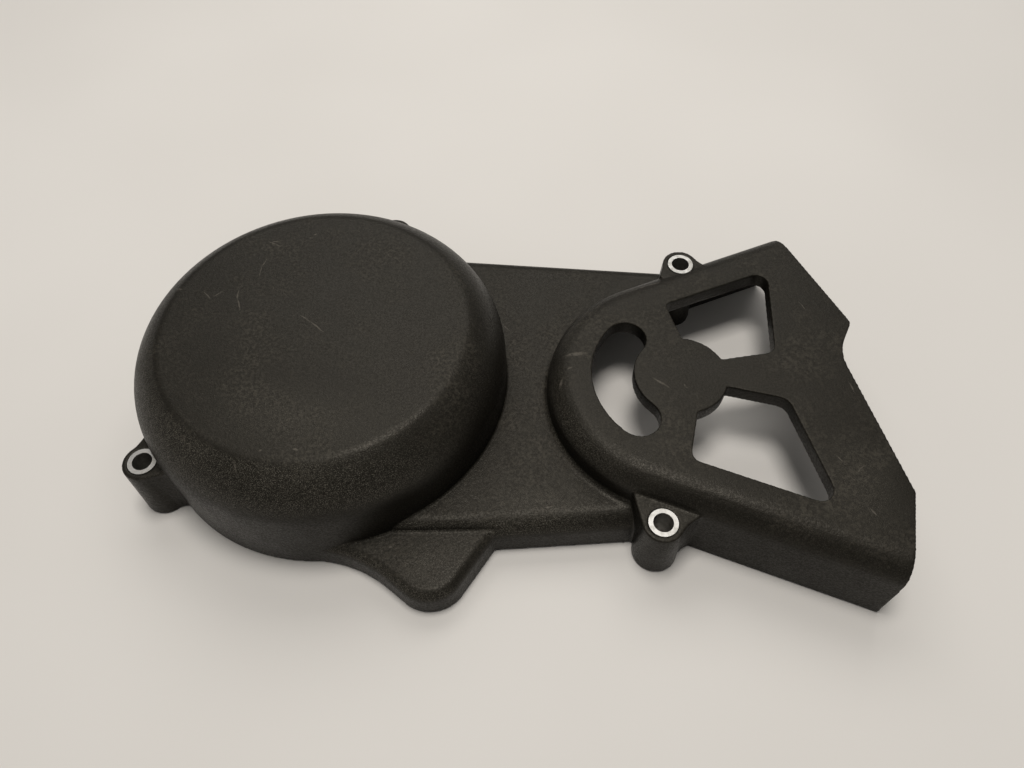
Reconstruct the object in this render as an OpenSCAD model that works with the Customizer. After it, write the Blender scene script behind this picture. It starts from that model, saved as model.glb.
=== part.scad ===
// Ignition cover of a motorbike engine, with its front sprocket guard.
// One moulded shell and four metal compression sleeves for its bolts.
// Origin: on the dome's axis, in the plane of the rim that sits on the engine.
// +X runs from the dome to the sprocket guard, +Z points away from the engine.

/* [Dome] */
// Radius of the dome wall where the shoulder starts
dome_r = 64.6; // [62:0.2:67]
// Height of the flat top above the rim
dome_h = 47.2; // [44:0.2:50]
// Radius of the large rounded shoulder
shoulder_r = 21.5; // [19:0.5:24]
// Slope at which the shoulder runs into the softened edge, in degrees
shoulder_lean = 62.1129; // [58:0.1:70]
// Rounding between the shoulder and the flat top
crown_r = 6; // [4:0.5:7]
// Draft of the dome wall, in degrees
dome_draft = 0.9; // [0:0.1:1.5]

/* [Sprocket guard] */
// Sprocket axis, to the right of the dome axis
guard_x = 125.8; // [122:0.2:130]
// Sprocket axis, behind the dome axis
guard_y = -10.8; // [-14:0.2:-8]
// Radius of the guard wall round the sprocket
guard_r = 46.4; // [45:0.2:48]
// Height of the guard's flat top
guard_h = 30; // [28:0.5:32]
// Rounding of the guard's top edge
guard_round = 9; // [7:0.5:11]
// Slope of the upper chain run, in degrees
run_up = 21.7; // [19:0.1:24]
// Slope of the lower chain run, in degrees
run_down = 22.5; // [20:0.1:25]
// Distance from the sprocket axis to the end of the upper run
run_length = 67.5; // [64:0.5:70]
// Radius of the solid hub between the windows
hub_r = 15.8; // [14:0.2:17]

/* [Windows] */
// Inner radius of the kidney window
kidney_in = 16.8; // [16:0.1:18]
// Outer radius of the kidney window
kidney_out = 31.3; // [30:0.1:33]
// Angle of the kidney's upper end, in degrees
kidney_start = 138.6; // [134:0.2:142]
// Angle of the kidney's lower end, in degrees
kidney_end = 225.8; // [222:0.2:230]
// Depth of the turned-down edge round each window, plate included
edge_depth = 6; // [4.5:0.5:8]
// Thickness of that turned-down edge
edge_wall = 2.2; // [1.6:0.1:3]

/* [Web and tab] */
// Height of the web between dome and guard
web_h = 15.6; // [14:0.2:18]
// Rounding of the web's front edge
web_front_round = 7; // [5:0.5:8]
// Rounding of the web's rear edge
web_rear_round = 5; // [4:0.5:6]
// Height of the low tab in front of the dome
tab_h = 12; // [10.5:0.5:13]
// Rounding of the tab's edge
tab_round = 4; // [3.5:0.5:5]
// Radius of the tab's tip
tab_r = 12.6; // [11:0.2:14]
// Distance from the dome wall to the centre of the tab's tip
tab_out = 15.5124; // [12:0.1:18]
// Distance from the dome's side to the step between web and tab
step_in = 5; // [4.2:0.1:5.6]
// Radius of the hollow blend from the dome wall into the tab
blend_r = 44; // [38:1:50]
// Radius of the hollow foot where the guard stands on the web
foot_r = 2.2; // [1:0.1:3]

/* [Wall] */
// Wall and plate thickness
wall = 3; // [2.4:0.1:3.3]
// Draft of the other walls, in degrees
draft = 2; // [0:0.5:3]

/* [Bolts] */
// Clearance hole through each sleeve
hole_d = 6.6; // [5.5:0.1:7]
// Outside diameter of each sleeve
sleeve_d = 9.6; // [9:0.1:10.5]
// Gap between sleeve and boss, all round
sleeve_gap = 0; // [0:0.05:0.2]
// Diameter of a bolt boss at its top
boss_d = 13.4; // [12.8:0.1:15]
// Distance from the dome wall to the front left bolt
boss_a_out = 4.2111; // [3:0.1:6]
// Distance from the dome wall to the rear left bolt
boss_d_out = 5.18; // [4:0.1:7]
// Distance from the guard wall to the front right bolt
boss_c_out = 7.259; // [6:0.1:8]
// Distance from the guard wall to the rear right bolt
boss_b_out = 6.4266; // [5:0.1:8]
// Height of the two bosses on the dome
boss_dome_h = 24.3; // [22:0.1:26]
// Height of the front boss on the guard
boss_front_h = 23; // [21:0.1:24]
// Height of the rear boss on the guard
boss_rear_h = 28.8; // [27:0.1:29.5]

/* [Hidden] */
$fn = 96;
guard = [guard_x, guard_y];
// Bolt axes, each outside the round wall that carries its boss
boss_a = (dome_r + boss_a_out) * unit([0, 0], [-57.1, -38.4]);
boss_b = guard + (guard_r + boss_b_out) * dir(run_up + 61.01355);
boss_c = guard + (guard_r + boss_c_out) * dir(-run_down - 80.42259);
boss_d_at = (dome_r + boss_d_out) * unit([0, 0], [19.5, 67]);
boss_r = boss_d / 2;
// Outward directions of the web's two long sides
front_n = -87.3;
rear_n = 84;
// Straight walls lie this much inside the round they carry on
seam = 0.05;
kidney_mid = (kidney_in + kidney_out) / 2;
kidney_half = (kidney_out - kidney_in) / 2;
tab_at = (dome_r + tab_out) * unit([0, 0], [38.6, -70.2]);
step_y = dome_r - step_in;
shoulder_z = dome_h - crown_r - (shoulder_r - crown_r) * sin(shoulder_lean);
// The web and the guard's blank end this far to the right
web_end = guard_x + 8.2;
guard_end = guard + [run_length, 0];
tab_left_n = 230.4;
tab_right_n = -34.6;
black = [0.09, 0.088, 0.085];
metal = [0.78, 0.77, 0.75];

// Unit vector at an angle
function dir(a) = [cos(a), sin(a)];

// Points of an arc
function arc(c, r, a0, a1, n) = [for (i = [0:n]) c + r * dir(a0 + (a1 - a0) * i / n)];

// Unit vector from p to q
function unit(p, q) = (q - p) / norm(q - p);

// Points that round corner p with radius r
function corner(a, p, b, r, n = 8) =
    let (u = unit(p, a), v = unit(p, b), half = acos(u * v) / 2, m = unit([0, 0], u + v))
    let (c = p + m * r / sin(half), turn = u[0] * v[1] - u[1] * v[0])
    let (s = turn > 0 ? -1 : 1, mid = atan2(-m[1], -m[0]), sweep = 90 - half)
    arc(c, r, mid - s * sweep, mid + s * sweep, n);

// Outline with rounded corners; each entry is [x, y, radius]
function rounded(p) =
    let (n = len(p))
    [for (i = [0:n - 1])
        let (a = p[(i + n - 1) % n], q = p[i], b = p[(i + 1) % n])
        each q[2] > 0 ? corner([a[0], a[1]], [q[0], q[1]], [b[0], b[1]], q[2]) : [[q[0], q[1]]]];

// The same outline, grown outwards by g; corners run counter-clockwise
function grown(p, g) =
    let (n = len(p))
    [for (i = [0:n - 1])
        let (a = p[(i + n - 1) % n], q = p[i], b = p[(i + 1) % n])
        let (u = unit([a[0], a[1]], [q[0], q[1]]), v = unit([q[0], q[1]], [b[0], b[1]]))
        let (m = [u[1], -u[0]], k = [v[1], -v[0]])
        [q[0] + g * (m + k)[0] / (1 + m * k), q[1] + g * (m + k)[1] / (1 + m * k), q[2] + g]];

upper_window = guard_shape([
    [2.6, 13.8, 0], [10.2, 5.4, 0], [34.1, 8.9, 4], [38.8, 47.1, 4], [-2, 31.6, 2.5]]);
lower_window = guard_shape([
    [4, -12.5, 0], [-1.7, -33.2, 3.5], [43.1, -51.9, 4.5], [34.5, -11, 5], [12, -4.9, 0]]);

// Outline given from the sprocket axis
function guard_shape(p) = [for (q = p) [guard_x + q[0], guard_y + q[1], q[2]]];

// Side view of a wall with a rounded top edge: radius r, height h, rounding f
module section(r, h, f, slope, back = 0, z0 = 0)
    polygon(concat(
        [[-back, z0], [r + (h - f - z0) * tan(slope), z0]],
        arc([r - f, h - f], f, 0, 90, 7),
        [[-back, h]]));

// Round raised form
module puck(r, h, f, slope, z0 = 0)
    rotate_extrude() section(r, h, f, slope, 0, z0);

// Straight wall that carries on from a puck; n is its outward direction
module flank(n, r, h, f, slope, from, to, z0 = 0, back = 5)
    rotate([0, 0, n])
        translate([0, to, 0])
            rotate([90, 0, 0])
                linear_extrude(to - from) section(r - seam, h, f, slope, back, z0);

// The dome: drafted wall, large shoulder, softened edge, flat top
module dome(i = 0) {
    z0 = i > 0 ? -1 : 0;
    big = shoulder_r - i;
    small = max(crown_r - i, 0.5);
    top = dome_h - i;
    cx = dome_r - shoulder_r;
    rise = top - small - shoulder_z;
    sx = cx + sqrt((big - small) * (big - small) - rise * rise);
    lean = atan2(rise, sx - cx);
    rotate_extrude()
        polygon(concat(
            [[0, z0], [dome_r - i + (shoulder_z - z0) * tan(dome_draft), z0]],
            arc([cx, shoulder_z], big, 0, lean, 18),
            arc([sx, top - small], small, lean, 90, 6),
            [[0, top]]));
}

// The low web between dome and guard, with the rounded step down to the tab
module web(i = 0) {
    z0 = i > 0 ? -1 : 0;
    rise = web_h - tab_h;
    y = i - step_y;
    difference() {
        intersection() {
            flank(front_n, dome_r - i, web_h - i, web_front_round - i, draft, 1, web_end, z0, 120);
            flank(rear_n, dome_r - i, web_h - i, web_rear_round - i, draft, -web_end - 2, -1, z0, 120);
        }
        translate([0, 0, tab_h - 1.1 * i]) rotate([90, 0, 90]) linear_extrude(60)
            polygon(concat(
                [[-100, 0]],
                arc([y + rise, 0], rise, 180, 100, 4),
                [[y + rise, rise + 1], [y + rise, 40], [-100, 40]]));
    }
}

// The low tab in front of the dome, with its hollow blend into the dome wall
module tab(i = 0) {
    z0 = i > 0 ? -1 : 0;
    f = tab_round - i;
    translate(tab_at) {
        puck(tab_r - i, tab_h - i, f, draft, z0);
        flank(tab_left_n, tab_r - i, tab_h - i, f, draft, -40, 0, z0);
        flank(tab_right_n, tab_r - i, tab_h - i, f, draft, 0, 23, z0);
        translate([0, 0, z0]) linear_extrude(tab_h - i - z0 - seam)
            polygon([[0, 0], 23 * dir(tab_right_n + 90), [0, 20], 40 * dir(tab_left_n - 90)]);
    }
}

// Hollow blend between the dome wall and the tab's left side
module blend() {
    f = tab_round - 2 * seam;
    base_r = dome_r + shoulder_z * tan(dome_draft);
    reach = base_r + blend_r - 0.2;
    side = tab_at * dir(tab_left_n) + tab_r + tab_h * tan(draft) + blend_r - 0.2;
    c = reach * dir(tab_left_n + acos(side / reach));
    near = (base_r - 0.8) * dir(atan2(c[1], c[0]) - 3.5);
    far = c - (blend_r + 0.9) * dir(tab_left_n - 2);
    difference() {
        linear_extrude(tab_h) polygon([near, far, far + [8, 10], [3, -58]]);
        translate(c) rotate_extrude()
            polygon(concat(
                [[0, -1], [blend_r - tan(draft), -1]],
                arc([blend_r + (tab_h - f) * tan(draft) + f, tab_h - f], f, 180, 94, 6),
                [[blend_r + f + 1, tab_h + 1], [0, tab_h + 1]]));
    }
}

// Everything round the sprocket and the two chain runs
module guard_form(i = 0) {
    z0 = i > 0 ? -1 : 0;
    reach = 140;
    translate(guard) {
        puck(guard_r - i, guard_h - i, guard_round - i, draft, z0);
        flank(run_up + 90, guard_r - i, guard_h - i, guard_round - i, draft, -reach, 0, z0);
        flank(-run_down - 90, guard_r - i, guard_h - i, guard_round - i, draft, 0, reach, z0);
        translate([0, 0, z0]) linear_extrude(guard_h - i - z0)
            polygon([[0, 0], reach * dir(-run_down), reach * dir(run_up)]);
    }
}

// Side view of the guard's hollow foot on the web: wall at r, fillet f
module foot_section(r, f)
    polygon(concat(
        [[r - 1, web_h - 1], [r - 1, web_h + f]],
        arc([r + f, web_h + f - seam], f, 180, 270, 4),
        [[r + f, web_h - 1]]));

// Hollow foot of the guard, round the sprocket and along the upper run
module guard_foot() {
    r = guard_r + (guard_h - guard_round - web_h - foot_r) * tan(draft) - 0.1;
    translate(guard) {
        rotate_extrude() foot_section(r, foot_r);
        rotate([0, 0, run_up + 90]) rotate([90, 0, 0])
            linear_extrude(16) foot_section(r - seam, foot_r - seam);
    }
}

// Plan of the guard, cut to its two open ends
module guard_plan() {
    far = guard_r + guard_h * tan(draft);
    up = dir(run_up);
    upn = dir(run_up + 90);
    c1 = guard + run_length * up + (far + 0.2) * upn;
    e = guard_end;
    polygon(rounded([
        [guard_x - guard_r - 19.4, e[1] - 99.2, 0],
        [e[0] - 16.8, e[1] - 99.2, 0],
        [e[0] - 0.7, e[1] - 46.7, 3],
        [e[0] - 10.6, e[1] + 8.4, 18],
        [e[0] - 3.3, e[1] + 21.4, 3],
        [c1[0], c1[1], 5],
        [c1[0] - 160 * up[0], c1[1] - 160 * up[1], 0]]));
}

// Bolt boss with a drafted side
module boss(at, h)
    translate(at) cylinder(r1 = boss_r + h * tan(2.5), r2 = boss_r, h = h);

// Flared foot of a boss, whose outline is given from the boss axis
module flare(at, h, outline)
    translate(at) linear_extrude(h) polygon(outline);

// Curve from p to s, drawn in towards q
function bend(p, q, s, n = 5) =
    [for (i = [0:n]) let (t = i / n) (1 - t) * (1 - t) * p + 2 * t * (1 - t) * q + t * t * s];

// The four bolt bosses
module bosses() {
    boss(boss_a, boss_dome_h);
    boss(boss_d_at, boss_dome_h);
    boss(boss_b, boss_rear_h);
    boss(boss_c, boss_front_h);
}

// Their flared feet, which end in the wall behind them
module flares() {
    flare(boss_a, boss_dome_h, concat(
        bend([-5.5, 3.8], [-2.7, 6.4], [-1.5, 10.9]), [[7.1, 10.4]],
        bend([10.6, -4.6], [6.2, -5], [2.2, -6.4])));
    flare(boss_d_at, boss_dome_h, concat(
        bend([-6.3, 2.4], [-7.2, -1.5], [-11.5, -3.6]), [[-9.5, -9], [8.5, -12]],
        bend([13.2, -10], [8, -5], [6.6, 0.4])));
    flare(boss_b, boss_rear_h, concat(
        bend([-6.3, 2.2], [-6.9, -1.5], [-8.8, -6]), [[2.5, -13.6]],
        bend([14.5, -3.4], [8.4, -1.4], [5.8, 3.2])));
    flare(boss_c, boss_front_h, concat(
        [[-8.6, 11.1], [6.2, 19.1]],
        bend([14, 2.4], [8.2, 0.4], [5.2, -4.2]), [[-6.6, -1]]));
}

// Window outline, as a solid
module window(p, g, h) {
    difference() {
        linear_extrude(h) polygon(rounded(g > 0 ? grown(p, g) : p));
        translate([guard_x, guard_y, -1]) cylinder(r = hub_r - g, h = h + 2);
    }
}

// Kidney window, as a solid
module kidney(g, h) {
    translate(guard) {
        rotate([0, 0, kidney_start])
            rotate_extrude(angle = kidney_end - kidney_start)
                translate([kidney_in - g, 0]) square([kidney_out - kidney_in + 2 * g, h]);
        for (a = [kidney_start, kidney_end])
            translate(kidney_mid * dir(a)) cylinder(r = kidney_half + g - seam, h = h);
    }
}

module windows(g, h) {
    kidney(g, h);
    window(upper_window, g, h);
    window(lower_window, g, h);
}

// The moulded shell
module cover() color(black) {
    difference() {
        union() {
            difference() {
                union() {
                    intersection() {
                        guard_form();
                        translate([0, 0, -1]) linear_extrude(guard_h + 2) guard_plan();
                    }
                    guard_foot();
                    web();
                    tab();
                    blend();
                    dome();
                    flares();
                }
                dome(wall);
                difference() {
                    union() {
                        guard_form(wall);
                        web(wall);
                        tab(wall);
                    }
                    translate([0, 0, -2]) cylinder(r = dome_r, h = dome_h);
                }
            }
            translate([0, 0, guard_h - edge_depth]) windows(edge_wall, edge_depth - 1);
            bosses();
        }
        translate([0, 0, guard_h - edge_depth - 1]) windows(0, edge_depth + 2);
        for (p = [boss_a, boss_b, boss_c, boss_d_at])
            translate([p[0], p[1], -1]) cylinder(d = sleeve_d + 2 * sleeve_gap, h = dome_h + 2);
    }
}

// Compression sleeve, flush with the rim and with the boss top
module sleeve(at, h) color(metal)
    translate(at) difference() {
        cylinder(d = sleeve_d, h = h);
        translate([0, 0, -1]) cylinder(d = hole_d, h = h + 2);
    }

module sleeve_front_left() sleeve(boss_a, boss_dome_h);
module sleeve_rear_left() sleeve(boss_d_at, boss_dome_h);
module sleeve_front_right() sleeve(boss_c, boss_front_h);
module sleeve_rear_right() sleeve(boss_b, boss_rear_h);

cover();
sleeve_front_left();
sleeve_rear_left();
sleeve_front_right();
sleeve_rear_right();
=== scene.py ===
import math
import bpy
from mathutils import Matrix, Vector


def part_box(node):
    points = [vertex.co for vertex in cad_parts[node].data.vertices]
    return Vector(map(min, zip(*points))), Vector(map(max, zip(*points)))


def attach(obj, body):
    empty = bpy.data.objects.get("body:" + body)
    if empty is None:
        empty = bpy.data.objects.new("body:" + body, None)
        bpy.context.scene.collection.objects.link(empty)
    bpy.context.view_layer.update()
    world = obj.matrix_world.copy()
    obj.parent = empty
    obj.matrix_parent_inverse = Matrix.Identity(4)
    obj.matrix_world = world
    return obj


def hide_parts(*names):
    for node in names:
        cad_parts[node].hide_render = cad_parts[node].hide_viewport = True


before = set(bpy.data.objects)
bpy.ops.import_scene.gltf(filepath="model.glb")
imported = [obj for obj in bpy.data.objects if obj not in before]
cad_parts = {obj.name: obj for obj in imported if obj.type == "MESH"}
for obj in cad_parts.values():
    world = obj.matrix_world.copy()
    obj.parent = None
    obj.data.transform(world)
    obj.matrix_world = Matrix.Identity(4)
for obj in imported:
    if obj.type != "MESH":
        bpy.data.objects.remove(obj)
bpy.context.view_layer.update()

MM = 0.001

# Camera, measured from the circles of the dome and the sleeves: the focal length and the
# width of the image in pixels, the place in metres, and the turns in degrees. The tilt
# counts from straight down.
FOCAL_PIXELS = 770.8
IMAGE_WIDTH = 1024
SENSOR_WIDTH = 36.0
CAMERA_AT = (0.0666, -0.1632, 0.2499)
CAMERA_TILT = 34.19
CAMERA_ROLL = -1.03

# Lamps, both aimed at the middle of the cover, in metres and watts
AIM = (0.06, 0.0, 0.02)
KEY_AT, KEY_SIZE, KEY_POWER = (0.05, 0.02, 1.15), (0.40, 0.34), 8.0
BACK_AT, BACK_SIZE, BACK_POWER = (0.06, 0.70, 0.86), (1.1, 0.6), 4.8
KEY_COLOUR, BACK_COLOUR = (1, 0.97, 0.93), (1, 0.98, 0.95)
SKY_COLOUR, SKY_STRENGTH = (0.86, 0.85, 0.83, 1), 0.22

# The floor is a square, just below the rim so that the two faces don't meet
FLOOR_HALF = 4.0
FLOOR_DROP = 0.2 * MM

# Colours of the plastic
FRESH = (0.0080, 0.0069, 0.0050, 1)
FADED = (0.0125, 0.0110, 0.0084, 1)
PORE = (0.0035, 0.0030, 0.0022, 1)
DUST = (0.034, 0.030, 0.0232, 1)
# Pale speck colour: painted glints on the shoulders, and the real pale specks of the scuffs
GLINT_AND_SCUFF_SPECK = (0.17, 0.157, 0.13, 1)
SCRATCH = (0.115, 0.102, 0.084, 1)
GLOSS_TINT = (1.0, 0.935, 0.81, 1)

# Colours of the sleeves and the floor
METAL_PALE, METAL_DULL = (0.46, 0.45, 0.43, 1), (0.33, 0.32, 0.295, 1)
METAL_DIRT = (0.17, 0.16, 0.14, 1)
FLOOR_DARK, FLOOR_PALE = (0.66, 0.635, 0.60, 1), (0.69, 0.665, 0.63, 1)

# Making of the moulded cover: points nearer than the weld are joined, the mesh is made
# anew with small even faces, smoothed, and thinned to a share of its faces
WELD = 0.02 * MM
FACE_SIZE = 0.4 * MM
SMOOTH_FACTOR, SMOOTH_PASSES = 0.5, 6
KEPT_SHARE = 0.095

# A mark on the surface ends at this share of its length from its middle. The places are
# on the plan, so a mark is tall enough to reach every height.
MARK_REACH = 0.62
MARK_HEIGHT = 100.0
MARK_BEND = (1.8 * MM, 1.8 * MM, 0)

# Scratches and nicks: (from, to, half width), in mm on the plan
SCRATCHES = [
    # Rear left of the dome's top
    ((-26.9, 17.5), (-26.9, 12.9), 0.35), ((-26.9, 12.9), (-25.0, 7.9), 0.35),
    ((-39.5, 16.9), (-36.3, 13.1), 0.30), ((-35.5, 14.0), (-32.2, 16.9), 0.30),
    ((-19.6, 31.6), (-21.1, 27.7), 0.32), ((-21.1, 27.7), (-20.7, 23.0), 0.28),
    ((-20.9, 40.1), (-15.8, 37.4), 0.30), ((-20.2, 39.8), (-15.1, 40.4), 0.25),
    ((-5.8, 41.7), (-4.4, 42.0), 0.45), ((-4.2, 43.2), (-3.3, 44.0), 0.40),
    ((-49.0, 18.5), (-47.0, 17.5), 0.50),
    # Middle and front of the dome's top
    ((-4.1, 5.3), (0.0, 2.5), 0.30), ((0.0, 2.5), (4.7, -2.7), 0.30),
    ((1.1, -46.7), (2.6, -47.4), 0.50), ((-9.5, -47.5), (-8.4, -46.8), 0.50),
    ((-16.4, -49.9), (-15.7, -53.3), 0.35),
    # Web and tab
    ((64.3, 25.2), (67.0, 21.2), 0.25), ((77.2, -52.8), (80.5, -52.2), 0.30),
    ((26.2, -64.1), (27.2, -64.1), 0.60),
    # Guard, beside the kidney window and on the hub
    ((86.3, -0.8), (94.5, -0.3), 0.80), ((87.1, -6.8), (88.9, -6.0), 0.50),
    ((85.1, -10.6), (83.9, -14.3), 0.60), ((116.6, -11.1), (121.2, -15.8), 0.45),
    ((126.6, -13.9), (127.7, -15.6), 0.40),
    # Guard, by the upper window and towards the open end
    ((115.6, 29.9), (123.9, 33.0), 0.50), ((145.6, 8.0), (149.8, 9.3), 0.25),
    ((171.8, -42.7), (173.7, -45.3), 0.30), ((177.4, -49.4), (179.7, -46.9), 0.25),
    ((177.5, -61.6), (178.7, -64.0), 0.30), ((183.0, -14.7), (184.5, -19.3), 0.25),
    ((173.9, 21.5), (175.8, 17.1), 0.25),
]

# Broad rubbed areas of fine pale specks: (from, to, half width), in mm on the plan
SCUFFS = [
    ((176.0, -72.0), (178.0, -36.0), 15.0), ((-30.0, -30.0), (30.0, -42.0), 16.0),
    ((60.0, -50.0), (95.0, -54.0), 7.0), ((28.0, -70.0), (46.0, -68.0), 7.0),
]


class Nodes:
    """Small helper that builds a procedural node tree. Noise scales are per metre."""

    def __init__(self, name):
        self.mat = bpy.data.materials.new(name)
        self.mat.use_nodes = True
        self.tree = self.mat.node_tree
        self.tree.nodes.clear()
        self.out = self.add("ShaderNodeOutputMaterial")
        self.bsdf = self.add("ShaderNodeBsdfPrincipled")
        self.tree.links.new(self.bsdf.outputs[0], self.out.inputs["Surface"])
        self.coord = self.add("ShaderNodeTexCoord").outputs["Object"]
        self.bent = None

    def add(self, kind, **props):
        n = self.tree.nodes.new(kind)
        for k, v in props.items():
            setattr(n, k, v)
        return n

    def put(self, socket, value):
        if isinstance(value, bpy.types.NodeSocket):
            self.tree.links.new(value, socket)
        else:
            socket.default_value = value

    def calc(self, op, a, b, clamp=False):
        n = self.add("ShaderNodeMath", operation=op, use_clamp=clamp)
        self.put(n.inputs[0], a)
        self.put(n.inputs[1], b)
        return n.outputs[0]

    def times(self, a, b):
        return self.calc("MULTIPLY", a, b)

    def plus(self, a, b):
        return self.calc("ADD", a, b)

    def split(self, vector):
        n = self.add("ShaderNodeSeparateXYZ")
        self.put(n.inputs[0], vector)
        return n.outputs

    def noise(self, scale, detail, rough, distortion=0.0):
        n = self.add("ShaderNodeTexNoise")
        n.inputs["Scale"].default_value = scale
        n.inputs["Detail"].default_value = detail
        n.inputs["Roughness"].default_value = rough
        n.inputs["Distortion"].default_value = distortion
        self.put(n.inputs["Vector"], self.coord)
        return n.outputs["Fac"]

    def remap(self, value, lo, hi, to_lo=0.0, to_hi=1.0):
        """Takes lo..hi to to_lo..to_hi with soft ends, and holds the ends outside."""
        n = self.add("ShaderNodeMapRange", interpolation_type="SMOOTHSTEP")
        self.put(n.inputs["Value"], value)
        for k, v in zip(("From Min", "From Max", "To Min", "To Max"), (lo, hi, to_lo, to_hi)):
            n.inputs[k].default_value = v
        return n.outputs[0]

    def mix(self, fac, a, b):
        n = self.add("ShaderNodeMix", data_type="RGBA")
        self.put(n.inputs[0], fac)
        self.put(n.inputs[6], a)
        self.put(n.inputs[7], b)
        return n.outputs[2]

    def bump(self, height, distance, strength, normal=None):
        n = self.add("ShaderNodeBump")
        n.inputs["Distance"].default_value = distance
        n.inputs["Strength"].default_value = strength
        self.put(n.inputs["Height"], height)
        if normal is not None:
            self.put(n.inputs["Normal"], normal)
        return n.outputs[0]

    def warped(self):
        """The coordinates, moved a little on the plan so that no mark is dead straight."""
        if self.bent is None:
            n = self.add("ShaderNodeTexNoise")
            n.inputs["Scale"].default_value = 170
            self.put(n.inputs["Vector"], self.coord)
            v = self.add("ShaderNodeVectorMath", operation="MULTIPLY_ADD")
            self.put(v.inputs[0], n.outputs["Color"])
            v.inputs[1].default_value = MARK_BEND
            self.put(v.inputs[2], self.coord)
            self.bent = v.outputs[0]
        return self.bent

    def stroke(self, a, b, half_width):
        """A tapered mark between two points on the plan: 1 at its middle, 0 away from it."""
        a, b = Vector((*a, 0)) * MM, Vector((*b, 0)) * MM
        m = self.add("ShaderNodeMapping", vector_type="TEXTURE")
        m.inputs["Location"].default_value = (a + b) / 2
        m.inputs["Rotation"].default_value = (0, 0, math.atan2(b.y - a.y, b.x - a.x))
        m.inputs["Scale"].default_value = ((b - a).length * MARK_REACH, half_width * MM, MARK_HEIGHT)
        self.put(m.inputs["Vector"], self.warped())
        g = self.add("ShaderNodeTexGradient", gradient_type="SPHERICAL")
        self.put(g.inputs[0], m.outputs[0])
        return g.outputs["Fac"]

    def strokes(self, marks):
        """All the marks of a list in one mask."""
        first, *rest = [self.stroke(a, b, half_width) for a, b, half_width in marks]
        for mark in rest:
            first = self.calc("MAXIMUM", first, mark)
        return first


def dust_mask(g, up, cloud, coarse):
    """Dust that lies in clouds on the faces that look up."""
    lying = g.times(g.remap(cloud, 0.38, 0.72), g.remap(coarse, 0.42, 0.66))
    return g.times(lying, g.remap(up, 0.2, 0.9))


def glint_and_scuff_mask(g, facing, up):
    """Pale specks: painted glints on the shoulders, most of all in front, and the real pale specks of the
    scuffs.
    """
    shoulder = g.times(g.remap(up, 0.12, 0.45), g.remap(up, 0.88, 0.985, 1, 0))
    # Painted glints: the shoulders that face the front, fading out between x 0.075 and 0.115 m
    front = g.plus(g.times(facing[0], -0.4), g.times(facing[1], -0.9))
    glints_and_scuffs = g.times(shoulder, g.remap(front, 0.15, 0.6, 0.15, 1))
    glints_and_scuffs = g.times(glints_and_scuffs, g.remap(g.split(g.coord)[0], 0.075, 0.115, 1, 0.15))
    scuffed = g.times(g.strokes(SCUFFS), g.remap(up, 0.8, 0.97))
    glints_and_scuffs = g.calc("ADD", glints_and_scuffs, g.times(scuffed, 0.55), clamp=True)
    specks = g.remap(g.noise(4300, 2, 0.5), 0.50, 0.70)
    specks = g.times(specks, g.plus(g.times(glints_and_scuffs, 0.9), 0.1))
    return g.times(specks, g.remap(up, 0.05, 0.3))


def plastic():
    g = Nodes("black_plastic")
    facing = g.split(g.add("ShaderNodeNewGeometry").outputs["Normal"])
    up = facing[2]
    cloud = g.noise(38, 3, 0.6)
    fading = g.noise(9, 2, 0.5, distortion=0.6)
    grain = g.noise(2300, 3, 0.65)
    coarse = g.noise(850, 2, 0.6)
    pores = g.remap(g.noise(1500, 2, 0.6), 0.36, 0.64)
    scratches = g.calc("MULTIPLY", g.strokes(SCRATCHES), 1.8, clamp=True)
    pale = g.times(scratches, g.remap(g.noise(700, 2, 0.6), 0.3, 0.6, 0.25, 1))
    pale = g.times(pale, g.remap(up, 0.5, 0.9))

    colour = g.mix(g.remap(fading, 0.35, 0.7), FRESH, FADED)
    colour = g.mix(g.times(pores, 0.7), colour, PORE)
    colour = g.mix(g.times(dust_mask(g, up, cloud, coarse), 0.8), colour, DUST)
    # Painted glints on the shoulders, together with the real pale specks of the scuffs
    colour = g.mix(g.times(glint_and_scuff_mask(g, facing, up), 0.75), colour, GLINT_AND_SCUFF_SPECK)
    colour = g.mix(g.times(pale, 0.5), colour, SCRATCH)
    rough = g.plus(g.remap(cloud, 0.3, 0.7, 0.36, 0.48), g.remap(pores, 0.0, 1.0, -0.07, 0.09))
    relief = g.bump(coarse, 0.14 * MM, 0.6)
    relief = g.bump(grain, 0.09 * MM, 0.9, relief)
    relief = g.bump(scratches, 0.06 * MM, 0.5, relief)

    g.put(g.bsdf.inputs["Base Color"], colour)
    g.put(g.bsdf.inputs["Roughness"], rough)
    g.put(g.bsdf.inputs["Normal"], relief)
    g.bsdf.inputs["Specular IOR Level"].default_value = 0.195
    g.bsdf.inputs["Specular Tint"].default_value = GLOSS_TINT
    return g.mat


def sleeve_metal():
    g = Nodes("sleeve_metal")
    cloud = g.noise(420, 3, 0.6)
    fine = g.noise(2600, 2, 0.5)
    colour = g.mix(g.remap(cloud, 0.35, 0.75), METAL_PALE, METAL_DULL)
    colour = g.mix(g.remap(fine, 0.6, 0.8, 0, 0.35), colour, METAL_DIRT)
    g.put(g.bsdf.inputs["Base Color"], colour)
    g.bsdf.inputs["Metallic"].default_value = 1.0
    g.put(g.bsdf.inputs["Roughness"], g.remap(cloud, 0.3, 0.7, 0.36, 0.52))
    g.put(g.bsdf.inputs["Normal"], g.bump(fine, 0.03 * MM, 0.5))
    return g.mat


def floor_material():
    g = Nodes("floor")
    colour = g.mix(g.remap(g.noise(5, 2, 0.5), 0.3, 0.7), FLOOR_DARK, FLOOR_PALE)
    g.put(g.bsdf.inputs["Base Color"], colour)
    g.bsdf.inputs["Roughness"].default_value = 0.7
    g.bsdf.inputs["Specular IOR Level"].default_value = 0.2
    return g.mat


def link(name, data):
    o = bpy.data.objects.new(name, data)
    bpy.context.scene.collection.objects.link(o)
    return o


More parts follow.
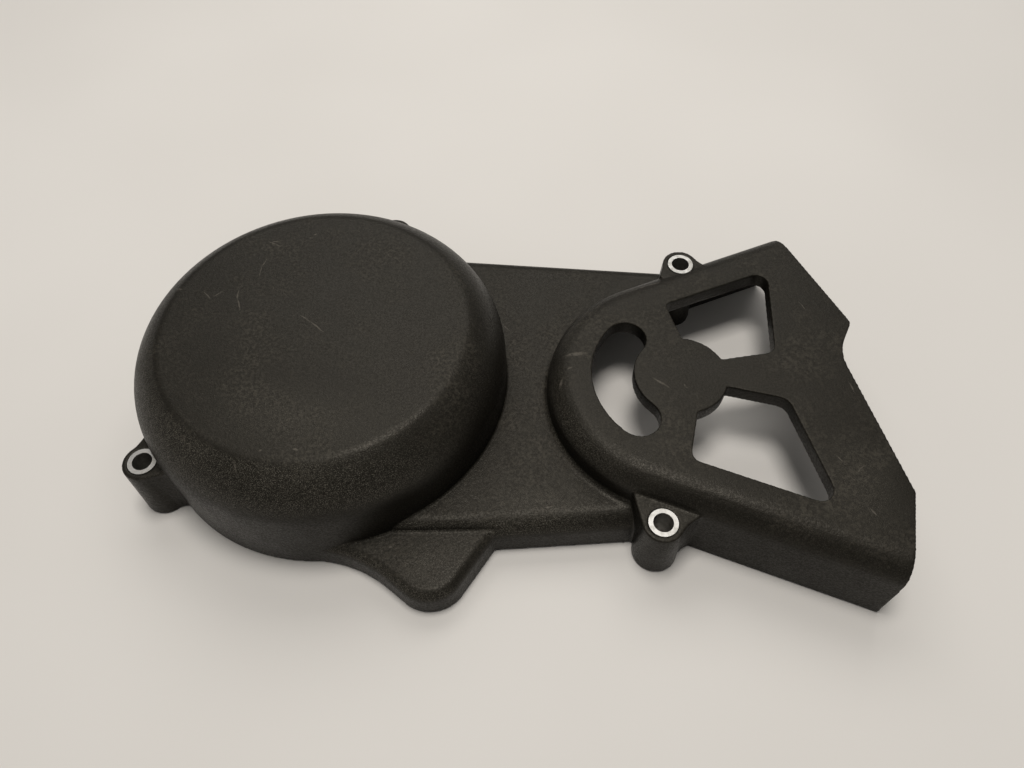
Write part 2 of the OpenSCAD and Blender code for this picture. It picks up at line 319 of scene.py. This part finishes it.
def camera():
    data = bpy.data.cameras.new("camera")
    data.sensor_width = SENSOR_WIDTH
    data.lens = SENSOR_WIDTH * FOCAL_PIXELS / IMAGE_WIDTH
    data.clip_start, data.clip_end = 0.01, 20
    tilt = Matrix.Rotation(math.radians(CAMERA_TILT), 4, "X")
    roll = Matrix.Rotation(math.radians(CAMERA_ROLL), 4, "Z")
    o = link("camera", data)
    o.matrix_world = Matrix.Translation(CAMERA_AT) @ tilt @ roll
    bpy.context.scene.camera = o


def lamp(name, at, size, power, colour):
    data = bpy.data.lights.new(name, "AREA")
    data.shape = "RECTANGLE"
    data.size, data.size_y = size
    data.energy = power
    data.color = colour
    o = link(name, data)
    o.location = at
    o.rotation_mode = "QUATERNION"
    o.rotation_quaternion = (Vector(AIM) - Vector(at)).to_track_quat("-Z", "Y")


def stage():
    mesh = bpy.data.meshes.new("floor")
    sides = ((-1, -1), (1, -1), (1, 1), (-1, 1))
    mesh.from_pydata([(x * FLOOR_HALF, y * FLOOR_HALF, -FLOOR_DROP) for x, y in sides], [], [(0, 1, 2, 3)])
    mesh.materials.append(floor_material())
    floor = link("floor", mesh)


def studio_light():
    world = bpy.data.worlds.new("world")
    bpy.context.scene.world = world
    world.use_nodes = True
    sky = world.node_tree.nodes["Background"]
    sky.inputs["Color"].default_value = SKY_COLOUR
    sky.inputs["Strength"].default_value = SKY_STRENGTH
    lamp("key", KEY_AT, KEY_SIZE, KEY_POWER, KEY_COLOUR)
    lamp("back", BACK_AT, BACK_SIZE, BACK_POWER, BACK_COLOUR)
    bpy.context.scene.view_settings.view_transform = "Standard"


def moulded_cover(node, material):
    """A copy of the cover with the small moulding radii that every edge of the real one has."""
    o = node.copy()
    o.data = node.data.copy()
    o.name = o.data.name = "moulded_cover"
    # The copy is a piece of its own, so the marks and the parent of the node come off
    for k in list(o.keys()):
        del o[k]
    o.parent = None
    bpy.context.scene.collection.objects.link(o)
    o.data.materials.clear()
    o.data.materials.append(material)
    weld = o.modifiers.new("weld", "WELD")
    weld.merge_threshold = WELD
    remesh = o.modifiers.new("remesh", "REMESH")
    remesh.mode = "VOXEL"
    remesh.voxel_size = FACE_SIZE
    soft = o.modifiers.new("soft", "SMOOTH")
    soft.factor, soft.iterations = SMOOTH_FACTOR, SMOOTH_PASSES
    less = o.modifiers.new("less", "DECIMATE")
    less.ratio = KEPT_SHARE
    bpy.context.view_layer.update()
    graph = bpy.context.evaluated_depsgraph_get()
    mesh = bpy.data.meshes.new_from_object(o.evaluated_get(graph))
    o.modifiers.clear()
    o.data = mesh
    lo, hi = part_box("cover")
    for v in mesh.vertices:
        v.co = [min(max(c, a), b) for c, a, b in zip(v.co, lo, hi)]
    for f in mesh.polygons:
        f.use_smooth = True
    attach(o, "root")
    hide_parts("cover")


camera()
stage()
studio_light()
black, metal = plastic(), sleeve_metal()
for name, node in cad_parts.items():
    for slot in node.material_slots:
        slot.material = black if name == "cover" else metal
moulded_cover(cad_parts["cover"], black)
